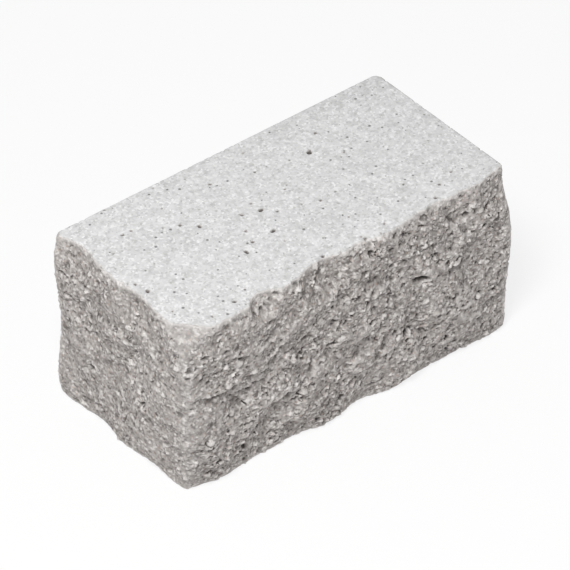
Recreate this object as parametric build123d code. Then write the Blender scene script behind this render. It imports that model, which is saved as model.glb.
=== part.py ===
"""Split face corner block: one solid of pressed concrete, with a split long face and a split end.

The block is pressed in a mould a little too long and too wide, and cured. A guillotine then breaks
a strip off its front and another off its end. The breaks leave two rough, slightly bellied faces
that meet at the block's outside corner, and chips spring from the top edge. The bed, the top, the
back and the other end keep the mould's smooth face.

Millimetres, +Z up. X runs along the block, and the split faces look to -Y and -X. The origin is at
the middle of the block's box, on the bed.
"""

import math
import os

from build123d import *

# Nominal size, from the split planes to the moulded faces opposite
LENGTH = 200.0
WIDTH = 100.0
HEIGHT = 100.0

# Moulded edges
MOULD_CORNER_RADIUS = 4.0
MOULD_ARRIS_RADIUS = 1.0

# How far the belly of a break stands proud of its split plane
BELLY_PROUD = 4.0

# Broad swell of a break, with its depth either side of the belly
SWELL_DEPTH = 1.5
SWELL_LENGTH = 230.0
SWELL_HEIGHT = 150.0

# Shorter ridges and ripples that run askew across a break, each the other way
RIDGE_DEPTH = 0.9
RIDGE_LENGTH = 52.0
RIDGE_SKEW = 0.55
RIPPLE_DEPTH = 0.6
RIPPLE_LENGTH = 36.0
RIPPLE_SKEW = -0.7

# Broken edges: how far a break falls back at its edge, and how far in from the edge that shows
BED_SETBACK = 3.2
BED_SETBACK_REACH = 9.0
CORNER_SETBACK = 2.0
CORNER_SETBACK_REACH = 6.0

# Chips out of the top edge of each break: place along from the outside corner, width and bite
FRONT_CHIPS = ((47.0, 20.0, 4.5), (84.0, 36.0, 5.5), (200.0, 34.0, 3.5))
END_CHIPS = ((38.0, 34.0, 3.0), (82.0, 32.0, 4.0))

# Chip off the top of the outside corner: its length along each edge, and how far out its centre lies
CORNER_CHIP = 8.0
CORNER_CHIP_STANDOFF = 45.0

# Where the waves start on each break, in degrees, so that the two faces differ
FRONT_PHASE = 35.0
END_PHASE = 160.0

# Strip that the guillotine breaks off, and the spacing of the points that shape a break
BREAK_STRIP = 20.0
BREAK_OVERRUN = 6.0
BREAK_POINT_SPACING = 6.0


def wave(distance, length, phase):
    """Height of a wave of unit depth at a distance along it, with its phase in degrees."""
    return math.sin(2 * math.pi * distance / length + math.radians(phase))


def edge_fall(distance, depth, reach):
    """How far a break falls back at a distance in from its edge."""
    return depth * math.exp(-max(distance, -reach) / reach)


def fall_back(along, up, phase):
    """How far a break lies behind its split plane, at a place along it from the outside corner and up it."""
    swell = SWELL_DEPTH * wave(along, SWELL_LENGTH, phase) * wave(up, SWELL_HEIGHT, phase)
    ridges = RIDGE_DEPTH * wave(along + RIDGE_SKEW * up, RIDGE_LENGTH, 2 * phase)
    ripples = RIPPLE_DEPTH * wave(along + RIPPLE_SKEW * up, RIPPLE_LENGTH, 3 * phase)
    bed_edges = edge_fall(up, BED_SETBACK, BED_SETBACK_REACH)
    bed_edges += edge_fall(HEIGHT - up, BED_SETBACK, BED_SETBACK_REACH)
    corner_edge = edge_fall(along, CORNER_SETBACK, CORNER_SETBACK_REACH)
    return swell + ridges + ripples + bed_edges + corner_edge - BELLY_PROUD


def steps(start, end):
    """Evenly spaced values from start to end, about a point spacing apart."""
    count = math.ceil((end - start) / BREAK_POINT_SPACING)
    return [start + (end - start) * i / count for i in range(count + 1)]


def break_surface(place, run, phase):
    """Spline surface of one break, a little larger than the block's side that it cuts.

    place turns a distance along the break, a depth behind its split plane and a height into a point.
    """
    heights = steps(-BREAK_OVERRUN, HEIGHT + BREAK_OVERRUN)
    distances = steps(-BREAK_STRIP - BREAK_OVERRUN, run + BREAK_OVERRUN)
    rows = [[place(along, fall_back(along, up, phase), up) for along in distances] for up in heights]
    return Face.make_surface_from_array_of_points(rows)


def moulded_blank():
    """The block as it leaves the mould, with the strips that are broken off later."""
    left, front = -LENGTH / 2 - BREAK_STRIP, -WIDTH / 2 - BREAK_STRIP
    right, back = LENGTH / 2, WIDTH / 2
    blank = Pos((left + right) / 2, (front + back) / 2, HEIGHT / 2) * Box(right - left, back - front, HEIGHT)
    blank = fillet(blank.edges().filter_by(Axis.Z), MOULD_CORNER_RADIUS)
    rims = blank.faces().filter_by(Plane.XY).edges()
    return fillet(rims, MOULD_ARRIS_RADIUS)


def on_front(along, depth, up):
    """Point of the front break, from a distance along it, a depth behind its split plane and a height."""
    return (along - LENGTH / 2, depth - WIDTH / 2, up)


def on_end(along, depth, up):
    """Point of the end break, placed in the same way."""
    return (depth - LENGTH / 2, along - WIDTH / 2, up)


def split_block():
    """The blank with its front strip and its end strip broken off."""
    throw = 2 * BREAK_STRIP + MOULD_CORNER_RADIUS
    front_strip = Solid.extrude(break_surface(on_front, LENGTH, FRONT_PHASE), Vector(0, -throw, 0))
    end_strip = Solid.extrude(break_surface(on_end, WIDTH, END_PHASE), Vector(-throw, 0, 0))
    return moulded_blank() - front_strip - end_strip


def edge_chip(place, phase, along, width, bite):
    """Ball that scoops a chip out of the top edge of a break."""
    radius = ((width / 2) ** 2 + bite**2) / (2 * bite)
    edge_depth = fall_back(along, HEIGHT, phase)
    return Pos(*place(along, edge_depth + bite - radius, HEIGHT)) * Sphere(radius)


def corner_chip():
    """Ball that scoops off the top of the outside corner."""
    corner_x = fall_back(0, HEIGHT, END_PHASE) - LENGTH / 2
    corner_y = fall_back(0, HEIGHT, FRONT_PHASE) - WIDTH / 2
    out = CORNER_CHIP_STANDOFF
    radius = math.hypot(CORNER_CHIP + out, out, out)
    return Pos(corner_x - out, corner_y - out, HEIGHT + out) * Sphere(radius)


def chipped_block():
    """The split block with the chips that spring from its top edges and its top corner."""
    block = split_block() - corner_chip()
    for along, width, bite in FRONT_CHIPS:
        block -= edge_chip(on_front, FRONT_PHASE, along, width, bite)
    for along, width, bite in END_CHIPS:
        block -= edge_chip(on_end, END_PHASE, along, width, bite)
    return block


def on_its_bed(block):
    """The block moved so that its box stands centred on the origin."""
    box = block.bounding_box()
    return Pos(-box.center().X, -box.center().Y, -box.min.Z) * block


block = on_its_bed(chipped_block())
os.makedirs("parts", exist_ok=True)
export_step(block, "parts/block.step")
print("block size", block.bounding_box().size, "volume", round(block.volume), "mm3")
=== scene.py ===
"""Looks of the split face corner block: pressed concrete, smooth where moulded and rough where broken.

The block's two breaks are read from its solid. A volume of small cells then takes on what the guillotine
and the mould leave at a finer scale: ledges, grains of aggregate with crevices beside them, nibbled and
worn edges, and pores. The surface of that volume is the block that shows. Lengths are in millimetres until
the mesh is made.
"""

import math

import bpy
import numpy as np
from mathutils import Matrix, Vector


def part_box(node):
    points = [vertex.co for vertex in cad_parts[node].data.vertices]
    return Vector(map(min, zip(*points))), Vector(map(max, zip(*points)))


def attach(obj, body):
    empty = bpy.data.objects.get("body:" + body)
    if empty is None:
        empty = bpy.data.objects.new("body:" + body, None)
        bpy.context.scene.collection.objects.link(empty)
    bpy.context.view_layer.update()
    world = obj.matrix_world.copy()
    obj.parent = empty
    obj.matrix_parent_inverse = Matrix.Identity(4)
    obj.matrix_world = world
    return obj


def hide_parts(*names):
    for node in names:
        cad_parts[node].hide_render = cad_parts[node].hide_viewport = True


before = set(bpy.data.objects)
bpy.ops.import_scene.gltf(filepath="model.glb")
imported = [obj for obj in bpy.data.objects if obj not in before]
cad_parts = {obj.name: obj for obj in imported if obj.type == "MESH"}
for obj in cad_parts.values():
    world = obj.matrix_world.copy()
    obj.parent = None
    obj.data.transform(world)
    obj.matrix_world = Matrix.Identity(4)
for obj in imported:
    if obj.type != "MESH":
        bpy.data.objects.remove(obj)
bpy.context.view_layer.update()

import openvdb
from mathutils import Vector
from mathutils.bvhtree import BVHTree

MM = 0.001
SEED = 1210

# Volume: size of its cells, room round the block, how far from the surface distances are kept, and the
# most triangles that the surface keeps
CELL = 0.5
ROOM = 3.0
BAND = 3 * CELL
TRIANGLES = 185_000

# Rays that read a break from the solid: how far inside the bed and the top they stay, and the least share
# of a surface that faces them for it to be the break
RAY_INSET = 0.1
LEAST_FACING = 0.5

# Moulded edges, as in the solid
MOULD_CORNER_RADIUS = 4.0
MOULD_ARRIS_RADIUS = 1.0

# Facets of a break: spacing, step from one to the next, and tilt. They are wider than tall. The ledges
# between them wander by small amounts, and are sharp in some places and soft in others
FACETS = ((24.0, 0.5, 0.05), (11.0, 0.4, 0.08))
FACET_STRETCH = 1.4
LEDGE_WANDER = ((9.0, 2.0), (4.0, 0.8))
LEDGE_WIDTHS = (0.4, 3.0)
LEDGE_FADE = 15.0

# Relief of a break: spacing of its features and depth either side, for creases and grit, and how much
# sharper than a wave a crease is
CREASES = ((19.0, 0.4), (10.0, 0.25))
CREASE_SHARPNESS = 3.0
GRIT = ((8.0, 0.25), (4.0, 0.22), (2.1, 0.22), (1.1, 0.18))

# Grains of aggregate on a break: smallest and largest size, how far the small ones outnumber the large,
# share of the break that they cover, and height against width as the press lays them
GRAIN_SIZES = (0.8, 7.0)
GRAIN_SMALLNESS = 3.5
GRAIN_COVER = 1.1
GRAIN_FLATNESS = 0.75

# Shape of a grain: area against its size squared, sides, how unevenly they are turned and set out, how far
# it stands out for its size and the spread of that, its tilt, and how steep its rim is
GRAIN_FILL = 0.6
GRAIN_SIDES = 6
GRAIN_SIDE_TURN = 0.35
GRAIN_SIDE_REACH = (0.6, 1.1)
GRAIN_HEIGHT = 0.17
GRAIN_HEIGHT_SPREAD = (0.6, 1.5)
GRAIN_TILT = 0.2
GRAIN_STEEPNESS = 2.2

# Shares of the grains that have come away and left a hollow, that stand proud, and of pale and dark stone
PULLED_OUT = 0.33
STANDING_PROUD = 0.33
PALE_STONE = 0.2
DARK_STONE = 0.18

# Tones of the stones, the spread of the plain ones, and how much of its stone's tone a hollow keeps
PALE_TONES = (0.4, 1.0)
DARK_TONES = (-1.0, -0.4)
PLAIN_TONE_SPREAD = 0.3
HOLLOW_TONE = 0.3

# Crevices that open beside some of the grains: the share, their depth against the grain's size, and how
# far out they lie and reach against its half size
CREVICES = 0.3
CREVICE_DEPTH = 0.34
CREVICE_PLACE = 1.15
CREVICE_REACH = 0.25

# Patches where a break is rougher or smoother, and how rough the long break and the short one are
PATCH_SPACING = 26.0
PATCH_CHANGE = 0.45
FRONT_ROUGHNESS = 1.33
END_ROUGHNESS = 1.0

# Edges of a break: share of the ledges and of the grains that they lose and how far in, how round they
# are worn, and the spacing and depth of the nibbles out of them, with their stretch and reach
LEDGE_CALM = (0.9, 12.0)
GRAIN_CALM = (0.5, 3.0)
EDGE_WEAR = 0.5
NIBBLES = ((16.0, 1.6), (6.0, 0.6))
NIBBLE_STRETCH = 0.35
NIBBLE_REACH = 5.0

# How far the relief lies behind the solid's break on the whole, and how softly it keeps within the box
RELIEF_SETBACK = 0.6
BOX_SOFTNESS = 0.4

# How far a broken edge is bruised pale under the moulded skin, and either side of the outside corner. Along
# the edge the pale is partly a painted highlight on the worn arris
BRUISE_AND_HIGHLIGHT_DEPTH = 1.0
CORNER_BRUISE = 0.2
CORNER_BRUISE_REACH = 4.0

# Depth at which the moulded skin starts to give way to the core, and over which it is gone
SKIN_DEPTH = 0.12
SKIN_FADE = 0.25

# Reach over which the ground that a hollow is measured against is smoothed
HOLLOW_REACH = 2.0

# Pores of a moulded face: number in each square metre, their radii, how far the small ones outnumber the
# large and they crowd towards the breaks, how many lobes they may have, and the sizes and spread of those
PORES_PER_SQUARE_METRE = 8000
PORE_RADII = (0.35, 1.4)
PORE_SMALLNESS = 2.0
PORE_CROWDING = 1.4
PORE_LOBES = 3
PORE_LOBE_SIZES = (0.6, 1.0)
PORE_LOBE_SPREAD = 0.7

# Nicks out of the moulded arrises: number in each metre, radii of their hollows, how far the small ones
# outnumber the large, and deepest bite
NICKS_PER_METRE = 110
NICK_RADII = (0.8, 3.0)
NICK_SMALLNESS = 2.0
NICK_BITE = 0.7

# Framing: the photograph's direction and distance, with a longer lens that fills the frame
VIEW_AZIMUTH = -39.1
VIEW_ELEVATION = 39.7
VIEW_DISTANCE = 2154.0
LENS = 278.0

# Softbox, high on the side of the split end, with its power in watts
SOFTBOX_AZIMUTH = -54.5
SOFTBOX_ELEVATION = 60.0
SOFTBOX_DISTANCE = 1500.0
SOFTBOX_WIDTH = 450.0
SOFTBOX_POWER = 16.7

# Strength of the light all round, and the floor, with the share of plain white that the eye sees in it
SURROUND_STRENGTH = 0.38
FLOOR_RADIUS = 4000.0
FLOOR_WHITE = 0.8

block_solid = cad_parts["block"]
low, high = (np.array(corner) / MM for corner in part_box("block"))


def cells(start, end):
    """Places of the volume's cells along one axis, from a little before the block to a little past it."""
    return np.arange(start - ROOM, end + ROOM, CELL)


along_x, along_y, along_z = (cells(low[axis], high[axis]) for axis in range(3))


def noise(u, v, spacing, seed):
    """Smooth noise from about -1 to 1, with its hills and hollows a spacing apart."""
    turns = np.random.default_rng(seed).uniform(0, 2 * np.pi, (256, 256))
    u, v = u / spacing + 64, v / spacing + 64
    column, row = np.floor(u).astype(int), np.floor(v).astype(int)
    s, t = u - column, v - row

    def slope(across, up):
        angle = turns[(column + across) % 256, (row + up) % 256]
        return np.cos(angle) * (s - across) + np.sin(angle) * (t - up)

    ease_s, ease_t = (x * x * x * (x * (x * 6 - 15) + 10) for x in (s, t))
    lower = slope(0, 0) + ease_s * (slope(1, 0) - slope(0, 0))
    upper = slope(0, 1) + ease_s * (slope(1, 1) - slope(0, 1))
    return 1.5 * (lower + ease_t * (upper - lower))


def solid_break(places, across):
    """Where the solid's break lies, over places along it and up it.

    across is the axis that looks through the break: 1 for the front, 0 for the end.
    """
    mesh = block_solid.data
    tree = BVHTree.FromPolygons([v.co / MM for v in mesh.vertices], [p.vertices[:] for p in mesh.polygons])
    heights = np.clip(along_z, low[2] + RAY_INSET, high[2] - RAY_INSET)
    ray = Vector((0, 0, 0))
    ray[across] = 1
    depths = np.full((len(places), len(heights)), np.nan)
    for i, place in enumerate(places):
        for j, height in enumerate(heights):
            start = Vector((place, place, height))
            start[across] = low[across] - ROOM
            hit, normal, _, _ = tree.ray_cast(start, ray)
            if hit and -normal[across] > LEAST_FACING:
                depths[i, j] = hit[across]
    for column in depths.T:
        found = ~np.isnan(column)
        column[:] = np.interp(places, places[found], column[found])
    return depths


def broken_facets(u, v, width, spacing, step, tilt, draw):
    """Relief of flat facets that meet in ledges of a width, each with its own height and tilt."""
    count = int(np.ptp(u) * np.ptp(v) / (FACET_STRETCH * spacing * spacing))
    total, weights = np.zeros_like(u), np.zeros_like(u)
    for _ in range(count):
        du, dv = u - draw.uniform(u.min(), u.max()), v - draw.uniform(v.min(), v.max())
        weight = np.exp(-np.hypot(du / FACET_STRETCH, dv) / width)
        slope_along, slope_up = draw.normal(0, tilt, 2)
        total += weight * (draw.normal(0, step) + slope_along * du + slope_up * dv)
        weights += weight
    return total / weights


def patch_of(places, u, v, size):
    """The part of a break round a place, as a slice of its array, with distances from that place."""
    rows = slice(*np.searchsorted(places, (u - size, u + size)))
    columns = slice(*np.searchsorted(along_z, (v - size, v + size)))
    return (rows, columns), places[rows, None] - u, along_z[None, columns] - v


def grain_tone(draw):
    """Tone of one grain's stone against the cement, from -1 for dark to 1 for pale."""
    kind = draw.random()
    if kind < PALE_STONE:
        return draw.uniform(*PALE_TONES)
    if kind < PALE_STONE + DARK_STONE:
        return draw.uniform(*DARK_TONES)
    return draw.normal(0, PLAIN_TONE_SPREAD)


def grain_sizes(area, draw):
    """Sizes of the grains that cover a break of an area, smallest first."""
    smallest, largest = GRAIN_SIZES
    sizes, covered = [], 0.0
    while covered < GRAIN_COVER * area:
        sizes.append(smallest * (largest / smallest) ** draw.beta(1.0, GRAIN_SMALLNESS))
        covered += GRAIN_FILL * GRAIN_FLATNESS * sizes[-1] ** 2
    return sorted(sizes)


def press_grains(relief, tone, places, draw):
    """Presses angular grains of aggregate into a break, and marks the tone of their stone.

    Some stand proud, some have come away and left a hollow, and the rest are broken through. A crevice
    opens along one side of some of them.
    """
    area = (places[-1] - places[0]) * (along_z[-1] - along_z[0])
    for size in grain_sizes(area, draw):
        u, v = draw.uniform(places[0], places[-1]), draw.uniform(along_z[0], along_z[-1])
        patch, du, dv = patch_of(places, u, v, size)
        dv = dv / GRAIN_FLATNESS
        turn = draw.uniform(0, 2 * np.pi)
        edge = np.zeros((du.shape[0], dv.shape[1]))
        for side in range(GRAIN_SIDES):
            angle = turn + (side + draw.uniform(-GRAIN_SIDE_TURN, GRAIN_SIDE_TURN)) * 2 * np.pi / GRAIN_SIDES
            reach = size / 2 * draw.uniform(*GRAIN_SIDE_REACH)
            edge = np.maximum(edge, (du * np.cos(angle) + dv * np.sin(angle)) / reach)
        inside = edge < 1
        tilt = draw.normal(0, GRAIN_TILT, 2)
        slant = tilt[0] * du + tilt[1] * dv
        top = np.maximum(GRAIN_HEIGHT * size * draw.uniform(*GRAIN_HEIGHT_SPREAD) + slant, 0)
        shape = np.clip((1 - edge) * GRAIN_STEEPNESS, 0, 1)
        shade = grain_tone(draw)
        fate = draw.random()
        if fate < PULLED_OUT:
            relief[patch] += shape * top
            shade *= HOLLOW_TONE
        elif fate < PULLED_OUT + STANDING_PROUD:
            relief[patch] -= shape * top
        elif inside.any():
            relief[patch] += shape * (relief[patch][inside].mean() + slant - relief[patch])
        tone[patch] = np.where(inside, shade, tone[patch])
        if draw.random() < CREVICES:
            angle = draw.uniform(0, 2 * np.pi)
            beside = np.clip((du * np.cos(angle) + dv * np.sin(angle)) / (size / 2), 0, 1)
            opened = np.clip(1 - np.abs(edge - CREVICE_PLACE) / CREVICE_REACH, 0, 1)
            relief[patch] += CREVICE_DEPTH * size * beside * opened


def softened(field, reach):
    """A field with its detail smoothed away over a reach."""
    steps = np.arange(-int(2 * reach / CELL), int(2 * reach / CELL) + 1) * CELL
    kernel = np.exp(-np.square(steps / reach))
    kernel /= kernel.sum()
    field = np.pad(field, len(steps) // 2, mode="edge")
    for axis in (0, 1):
        field = np.apply_along_axis(np.convolve, axis, field, kernel, "valid")
    return field


def rough_break(places, across, roughness, seed):
    """The solid's break made rough, with the depth of its hollows against their smoothed ground, which the
    material paints as shade where deep and as highlight where proud, and the tone of its grains.

    The relief is fainter where a chip slopes, so that it isn't drawn out into streaks there.
    """
    u, v = np.meshgrid(places, along_z, indexing="ij")
    draw = np.random.default_rng(seed)
    along = 1 - across
    edge = np.minimum(np.minimum(u - low[along], high[along] - u), np.minimum(v - low[2], high[2] - v))
    edge = np.maximum(edge, 0)
    wander_u, wander_v = u.copy(), v.copy()
    for spacing, reach in LEDGE_WANDER:
        seed += 2
        wander_u += reach * noise(u, v, spacing, seed)
        wander_v += reach * noise(u, v, spacing, seed + 1)
    sharpest, softest = LEDGE_WIDTHS
    fade = np.clip(0.5 + noise(u, v, LEDGE_FADE, seed + 2), 0, 1)
    width = sharpest * (softest / sharpest) ** fade
    ledges, grains, tone = np.zeros_like(u), np.zeros_like(u), np.zeros_like(u)
    for spacing, step, tilt in FACETS:
        ledges += broken_facets(wander_u, wander_v, width, spacing, step, tilt, draw)
    for spacing, height in CREASES:
        seed += 2
        ledges -= height * (1.0 - CREASE_SHARPNESS * np.abs(noise(u, v, spacing, seed)))
    for spacing, height in GRIT:
        seed += 2
        grains += height * noise(u, v, spacing, seed)
    press_grains(grains, tone, places, draw)
    grains *= 1 + PATCH_CHANGE * noise(u, v, PATCH_SPACING, seed + 1)
    relief = np.zeros_like(u)
    for layer, (share, reach) in ((ledges, LEDGE_CALM), (grains, GRAIN_CALM)):
        relief += roughness * layer * (1 - share * np.exp(-edge / reach))
    for spacing, height in NIBBLES:
        seed += 2
        nibble = np.maximum(noise(u, NIBBLE_STRETCH * v, spacing, seed), 0)
        relief += height * nibble * np.exp(-edge / NIBBLE_REACH)
    ground = solid_break(places, across)
    slope = np.gradient(softened(ground, HOLLOW_REACH), CELL, axis=1)
    facing = 1 / np.sqrt(1 + slope**4)
    within = ground + RELIEF_SETBACK + facing * relief - low[across]
    depth = low[across] + BOX_SOFTNESS * np.logaddexp(0, within / BOX_SOFTNESS)
    return depth, facing * (relief - softened(relief, HOLLOW_REACH)), facing * tone


def moulded_depth(x, y, z):
    """Distance out of the moulded faces, below zero inside. The breaks aren't among them."""
    right, back = x - (high[0] - MOULD_CORNER_RADIUS), y - (high[1] - MOULD_CORNER_RADIUS)
    plan = np.hypot(np.maximum(right, 0), np.maximum(back, 0)) + np.minimum(np.maximum(right, back), 0)
    plan = plan - MOULD_CORNER_RADIUS + MOULD_ARRIS_RADIUS
    middle, half = (low[2] + high[2]) / 2, (high[2] - low[2]) / 2
    tall = np.abs(z - middle) - half + MOULD_ARRIS_RADIUS
    rounded = np.hypot(np.maximum(plan, 0), np.maximum(tall, 0)) + np.minimum(np.maximum(plan, tall), 0)
    return rounded - MOULD_ARRIS_RADIUS


def hollow_out(volume, centre, radius):
    """Takes a ball out of the volume."""
    grid = (along_x, along_y, along_z)
    reach = radius + 2 * CELL
    near = tuple(slice(*np.searchsorted(grid[i], (centre[i] - reach, centre[i] + reach))) for i in range(3))
    dx, dy, dz = (np.square(grid[i][near[i]] - centre[i]) for i in range(3))
    away = np.sqrt(dx[:, None, None] + dy[None, :, None] + dz[None, None, :])
    volume[near] = np.maximum(volume[near], radius - away)


def open_pores(volume, draw):
    """Opens small pores in the moulded faces. There are more of them towards the breaks."""
    smallest, largest = PORE_RADII
    for axis, level in ((2, high[2]), (2, low[2]), (1, high[1]), (0, high[0])):
        sides = [high[other] - low[other] for other in range(3) if other != axis]
        for _ in range(int(sides[0] * sides[1] * MM * MM * PORES_PER_SQUARE_METRE)):
            radius = smallest * (largest / smallest) ** draw.beta(1.0, PORE_SMALLNESS)
            share = np.array([draw.beta(1.0, PORE_CROWDING), draw.beta(1.0, PORE_CROWDING), draw.random()])
            centre = low + share * (high - low)
            centre[axis] = level
            for _ in range(draw.integers(1, PORE_LOBES + 1)):
                lobe = radius * draw.uniform(*PORE_LOBE_SIZES)
                aside = draw.uniform(-PORE_LOBE_SPREAD, PORE_LOBE_SPREAD, 3) * radius
                aside[axis] /= 2
                hollow_out(volume, centre + aside, lobe)


def nick_arrises(volume, draw):
    """Nicks the arrises round the moulded faces."""
    smallest, largest = NICK_RADII
    arrises = [(0, high[1], level) for level in (low[2], high[2])]
    arrises += [(1, high[0], level) for level in (low[2], high[2])]
    for axis, side, level in arrises:
        for _ in range(int((high[axis] - low[axis]) * MM * NICKS_PER_METRE)):
            radius = smallest * (largest / smallest) ** draw.beta(1.0, NICK_SMALLNESS)
            bite = draw.uniform(0, NICK_BITE)
            centre = np.array([side, side, level])
            centre[axis] = draw.uniform(low[axis], high[axis])
            outwards = np.array([1.0, 1.0, 1.0 if level > low[2] else -1.0])
            outwards[axis] = 0
            inset = MOULD_ARRIS_RADIUS * (math.sqrt(2) - 1)
            hollow_out(volume, centre + outwards / math.sqrt(2) * (radius - bite - inset), radius)


def block_volume(front, end):
    """Distance field of the block over the cells, below zero inside."""
    x, y, z = along_x[:, None, None], along_y[None, :, None], along_z[None, None, :]
    volume = moulded_depth(x, y, z)
    for past in (front[:, None, :] - y, end[None, :, :] - x):
        volume = EDGE_WEAR * np.logaddexp(volume / EDGE_WEAR, past / EDGE_WEAR)
    volume = volume.astype(np.float32)
    draw = np.random.default_rng(SEED)
    open_pores(volume, draw)
    nick_arrises(volume, draw)
    return np.clip(volume, -BAND, BAND)


def surface_mesh(volume):
    """Mesh of the volume's surface, in metres, thinned to the most triangles that it keeps."""
    grid = openvdb.FloatGrid(BAND)
    grid.copyFromArray(volume)
    points, triangles, quads = grid.convertToPolygons(0.0, 0.0)
    points = (points * CELL + (along_x[0], along_y[0], along_z[0])) * MM
    mesh = bpy.data.meshes.new("dense")
    mesh.from_pydata(points.tolist(), [], triangles.tolist() + quads.tolist())
    dense = bpy.data.objects.new("dense", mesh)
    bpy.context.collection.objects.link(dense)
    thin = dense.modifiers.new("thin", "DECIMATE")
    thin.ratio = TRIANGLES / (len(triangles) + 2 * len(quads))
    thin.use_collapse_triangulate = True
    shown = dense.evaluated_get(bpy.context.evaluated_depsgraph_get())
    thinned = bpy.data.meshes.new_from_object(shown)
    bpy.data.objects.remove(dense)
    thinned.name = "split_block"
    return thinned


def mark_surface(mesh, front, end):
    """Marks what the material shows at each point.

    skin is the moulded skin that is left. The pale edge under it is partly bruise and partly painted
    highlight. The depth of pits and pores is painted as shade and the height of proud relief as highlight.
    tone is the stone of the grains.
    """
    points = np.empty(3 * len(mesh.vertices), np.float32)
    mesh.vertices.foreach_get("co", points)
    x, y, z = points.reshape(-1, 3).T / MM
    i, j, k = (
        np.clip(np.rint((value - grid[0]) / CELL).astype(int), 0, len(grid) - 1)
        for value, grid in ((x, along_x), (y, along_y), (z, along_z))
    )
    under = np.maximum(-moulded_depth(x, y, z), 0)
    past_front, past_end = front[0][i, k] - y, end[0][j, k] - x
    on_break = np.maximum(past_front, past_end) > -BAND / 2
    depth_for_painted_light, tone = (np.where(past_front > past_end, front[n][i, k], end[n][j, k]) for n in (1, 2))
    corner = CORNER_BRUISE * np.exp(np.minimum(np.minimum(past_front, past_end), 0) / CORNER_BRUISE_REACH)
    bruise_and_highlight = np.maximum(np.exp(-under / BRUISE_AND_HIGHLIGHT_DEPTH), corner)
    marks = {
        "skin": 1 - np.clip((under - SKIN_DEPTH) / SKIN_FADE, 0, 1),
        "bruise_and_highlight": np.where(on_break, bruise_and_highlight, 0),
        "depth_for_painted_light": np.where(on_break, depth_for_painted_light, under),
        "tone": np.where(on_break, tone, 0),
    }
    for name, values in marks.items():
        mesh.attributes.new(name, "FLOAT", "POINT").data.foreach_set("value", values.astype(np.float32))


def add(tree, kind, inputs=None, **settings):
    """Adds a node. An input takes a value, a node's first output in use, or a chosen output."""
    node = tree.nodes.new(kind)
    for name, value in settings.items():
        setattr(node, name, value)
    for place, value in (inputs or {}).items():
        named = [socket for socket in node.inputs if socket.enabled and socket.name == place]
        socket = named[0] if named else node.inputs[place]
        if isinstance(value, bpy.types.Node):
            value = next(output for output in value.outputs if output.enabled)
        if isinstance(value, bpy.types.NodeSocket):
            tree.links.new(value, socket)
        else:
            socket.default_value = value
    return node


def colour(code):
    """Linear colour of an sRGB hex code."""
    parts = [int(code[i:i + 2], 16) / 255 for i in (1, 3, 5)]
    return (*(p / 12.92 if p <= 0.04045 else ((p + 0.055) / 1.055) ** 2.4 for p in parts), 1.0)


def per_metre(size):
    """Scale of a pattern whose features are a size in millimetres apart."""
    return 1 / (size * MM)


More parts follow.
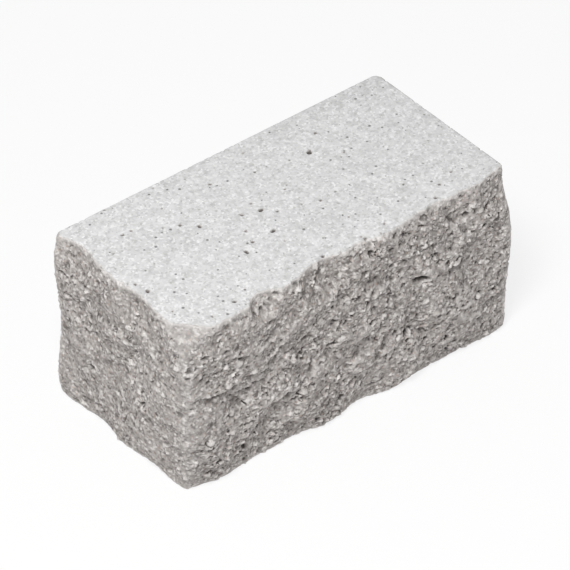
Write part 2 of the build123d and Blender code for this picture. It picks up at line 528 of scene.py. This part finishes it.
def pressed_concrete():
    """Semi-dry concrete, pressed in a steel mould, cured and split.

    The mould leaves a pale matt skin of cement over sand, with pinholes darkened by painted shade and, up
    its sides, faint drag marks. The break shows warm grey cement full of sand, with pale and dark stones,
    pits darkened by painted shade, proud parts lightened by painted highlight, and a pale edge that is
    partly bruise, partly painted highlight.
    """
    material = bpy.data.materials.new("pressed_concrete")
    material.use_nodes = True
    tree = material.node_tree
    tree.nodes.clear()
    skin, bruise_and_highlight, depth_for_painted_light, tone = (
        add(tree, "ShaderNodeAttribute", attribute_name=name).outputs["Fac"]
        for name in ("skin", "bruise_and_highlight", "depth_for_painted_light", "tone")
    )
    place = add(tree, "ShaderNodeTexCoord").outputs["Object"]

    # Patterns, by the size of their features in millimetres
    sand, gravel, pinholes = (
        add(tree, "ShaderNodeTexVoronoi", {"Vector": place, "Scale": per_metre(size)})
        for size in (1.1, 2.4, 4.5)
    )
    sand_draw, gravel_draw, pinhole_draw = (
        add(tree, "ShaderNodeSeparateColor", {"Color": pattern.outputs["Color"]}).outputs
        for pattern in (sand, gravel, pinholes)
    )
    fine_grit, grit, crumbs, clouds = (
        add(tree, "ShaderNodeTexNoise", {"Vector": place, "Scale": per_metre(size), "Detail": detail})
        for size, detail in ((0.8, 2.0), (0.9, 3.0), (5.0, 4.0), (32.0, 4.0))
    )

    # Drag marks, on the sides that were drawn out of the mould
    normal = add(tree, "ShaderNodeSeparateXYZ", {0: add(tree, "ShaderNodeNewGeometry").outputs["Normal"]})
    level = add(tree, "ShaderNodeMath", {0: normal.outputs["Z"]}, operation="ABSOLUTE")
    upright = add(tree, "ShaderNodeMapRange", {"Value": level, "From Min": 0.8, "From Max": 0.6})
    drawn = add(tree, "ShaderNodeMapping", {"Vector": place, "Scale": (1.0, 1.0, 0.04)})
    streaks = add(tree, "ShaderNodeTexNoise", {"Vector": drawn, "Scale": per_metre(3.0), "Detail": 4.0})
    streaks = add(tree, "ShaderNodeMapRange", {"Value": streaks, "From Min": 0.42, "From Max": 0.68})
    drag = add(tree, "ShaderNodeMath", {0: upright, 1: streaks}, operation="MULTIPLY")

    # Pinholes of many sizes, painted dark as the shade inside them
    nearness = add(tree, "ShaderNodeMath", {0: pinholes, 1: pinhole_draw[0]}, operation="DIVIDE")
    pin = add(tree, "ShaderNodeMapRange", {"Value": nearness, "From Min": 0.2, "From Max": 0.12})

    # Layers of colour over the core and over the paste of the skin. Each is a measure, the stretch of it in
    # which the layer's share goes from a first value to a last, those two shares, and the layer's colour
    core_layers = (
        (clouds, 0.3, 0.7, 0.6, 0.0, "#9a9490"),
        (crumbs, 0.3, 0.7, 0.4, 0.0, "#8a8481"),
        (tone, 0.05, 0.8, 0.0, 0.95, "#e9e5e2"),
        (tone, -0.8, -0.05, 0.85, 0.0, "#605b58"),
        (sand_draw[0], 0.0, 0.8, 0.45, 0.0, "#66615e"),
        (sand_draw[1], 0.7, 0.95, 0.0, 0.5, "#e6e2df"),
        (sand_draw[2], 0.93, 0.97, 0.0, 0.35, "#b0988a"),
        # Painted shade: darker in pits, pores, crevices and hollows below the smoothed ground
        (depth_for_painted_light, 0.0, 0.95, 0.0, 0.86, "#423e3c"),
        # Painted highlight: paler on proud grains and ledge edges above the smoothed ground
        (depth_for_painted_light, -0.8, -0.1, 0.5, 0.0, "#e2dedb"),
        # Pale edge of a break: partly bruised concrete, partly a painted highlight where the worn arris
        # catches the light
        (bruise_and_highlight, 0.0, 1.0, 0.0, 0.85, "#e6e4e2"),
    )
    paste_layers = (
        (clouds, 0.3, 0.7, 0.25, 0.0, "#c2c2c1"),
        (crumbs, 0.35, 0.65, 0.25, 0.0, "#b2b2b1"),
        (gravel_draw[0], 0.0, 0.5, 0.3, 0.0, "#a9a9a8"),
        (gravel_draw[1], 0.7, 1.0, 0.0, 0.3, "#f2f2f2"),
        (sand_draw[0], 0.0, 0.4, 0.45, 0.0, "#a6a6a5"),
        (sand_draw[1], 0.7, 1.0, 0.0, 0.6, "#f4f4f4"),
        (drag, 0.0, 1.0, 0.0, 0.3, "#a9a8a6"),
        # Painted shade: pinholes darkened as the shade inside them
        (pin, 0.0, 1.0, 0.0, 0.8, "#6c6a68"),
    )
    tinted = []
    for base, layers in (("#bfb9b5", core_layers), ("#dadada", paste_layers)):
        mixed = colour(base)
        for measure, start, stop, first, last, tint in layers:
            share = add(tree, "ShaderNodeMapRange", {
                "Value": measure, "From Min": start, "From Max": stop, "To Min": first, "To Max": last,
            })
            blend = {"Factor": share, "A": mixed, "B": colour(tint)}
            mixed = add(tree, "ShaderNodeMix", blend, data_type="RGBA")
        tinted.append(mixed)
    core, paste = tinted
    surface = add(tree, "ShaderNodeMix", {"Factor": skin, "A": core, "B": paste}, data_type="RGBA")

    # Relief too fine for the mesh: grit on the break, pinholes and drag marks in the skin
    broken = add(tree, "ShaderNodeMath", {0: sand_draw[0], 1: 0.3, 2: grit}, operation="MULTIPLY_ADD")
    closed = add(tree, "ShaderNodeMath", {0: fine_grit, 1: 0.3}, operation="MULTIPLY")
    closed = add(tree, "ShaderNodeMath", {0: drag, 1: -0.3, 2: closed}, operation="MULTIPLY_ADD")
    closed = add(tree, "ShaderNodeMath", {0: closed, 1: pin}, operation="SUBTRACT")
    height = add(tree, "ShaderNodeMix", {"Factor": skin, "A": broken, "B": closed}, data_type="FLOAT")
    bump = add(tree, "ShaderNodeBump", {"Height": height, "Strength": 0.8, "Distance": 0.35 * MM})
    shader = add(tree, "ShaderNodeBsdfPrincipled", {
        "Base Color": surface, "Normal": bump, "Roughness": 0.92, "Specular IOR Level": 0.3, "IOR": 1.5,
    })
    add(tree, "ShaderNodeOutputMaterial", {"Surface": shader})
    return material


def split_block():
    """The block's mesh, with its material."""
    front = rough_break(along_x, 1, FRONT_ROUGHNESS, SEED)
    end = rough_break(along_y, 0, END_ROUGHNESS, SEED + 50)
    mesh = surface_mesh(block_volume(front[0], end[0]))
    mark_surface(mesh, front, end)
    mesh.materials.clear()
    mesh.materials.append(pressed_concrete())
    mesh.shade_smooth()
    piece = bpy.data.objects.new("split_block", mesh)
    bpy.context.collection.objects.link(piece)
    return piece


def shown_to_the_eye(tree, lighting, shown):
    """Shader that lights the block with one shader, and shows the eye another."""
    path = add(tree, "ShaderNodeLightPath").outputs
    eye = path["Is Camera Ray"]
    for name in ("Is Glossy Ray", "Is Transmission Ray"):
        eye = add(tree, "ShaderNodeMath", {0: eye, 1: path[name]}, operation="MAXIMUM")
    return add(tree, "ShaderNodeMixShader", {0: eye, 1: lighting, 2: shown})


def studio_floor():
    """Pale floor that shows white and keeps the block's shadow."""
    bpy.ops.mesh.primitive_circle_add(
        vertices=64, radius=FLOOR_RADIUS * MM, fill_type="NGON", location=(0, 0, 0),
    )
    floor = bpy.context.object
    floor.name = "studio_floor"
    material = bpy.data.materials.new("matt_white_floor")
    material.use_nodes = True
    tree = material.node_tree
    tree.nodes.clear()
    matt = add(tree, "ShaderNodeBsdfDiffuse", {"Color": colour("#f4f4f4")})
    white = add(tree, "ShaderNodeEmission", {"Color": colour("#ffffff"), "Strength": 1.0})
    pale = add(tree, "ShaderNodeMixShader", {0: FLOOR_WHITE, 1: matt, 2: white})
    add(tree, "ShaderNodeOutputMaterial", {"Surface": shown_to_the_eye(tree, matt, pale)})
    floor.data.materials.append(material)


def direction(azimuth, elevation):
    """Unit vector from the block towards an azimuth and an elevation in degrees."""
    azimuth, elevation = math.radians(azimuth), math.radians(elevation)
    level = math.cos(elevation)
    return Vector((math.sin(azimuth) * level, -math.cos(azimuth) * level, math.sin(elevation)))


def studio_light():
    """Soft light all round, and a softbox."""
    world = bpy.data.worlds.new("studio")
    bpy.context.scene.world = world
    world.use_nodes = True
    tree = world.node_tree
    tree.nodes.clear()
    soft = add(tree, "ShaderNodeBackground", {"Color": colour("#ffffff"), "Strength": SURROUND_STRENGTH})
    white = add(tree, "ShaderNodeBackground", {"Color": colour("#ffffff"), "Strength": 1.0})
    add(tree, "ShaderNodeOutputWorld", {"Surface": shown_to_the_eye(tree, soft, white)})
    lamp = bpy.data.lights.new("softbox", "AREA")
    lamp.shape = "DISK"
    lamp.size = SOFTBOX_WIDTH * MM
    lamp.energy = SOFTBOX_POWER
    softbox = bpy.data.objects.new("softbox", lamp)
    towards = direction(SOFTBOX_AZIMUTH, SOFTBOX_ELEVATION)
    softbox.location = towards * SOFTBOX_DISTANCE * MM
    softbox.rotation_euler = towards.to_track_quat("Z", "Y").to_euler()
    bpy.context.collection.objects.link(softbox)


def photo_camera():
    """Camera at the photograph's viewing angle and distance."""
    towards = direction(VIEW_AZIMUTH, VIEW_ELEVATION)
    lens = bpy.data.cameras.new("camera")
    lens.lens = LENS
    camera = bpy.data.objects.new("camera", lens)
    camera.location = (Vector((low + high) / 2) + towards * VIEW_DISTANCE) * MM
    camera.rotation_euler = towards.to_track_quat("Z", "Y").to_euler()
    bpy.context.collection.objects.link(camera)
    bpy.context.scene.camera = camera


bpy.context.scene.view_settings.view_transform = "Standard"
block = split_block()
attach(block, "root")
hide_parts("block")
studio_floor()
studio_light()
photo_camera()
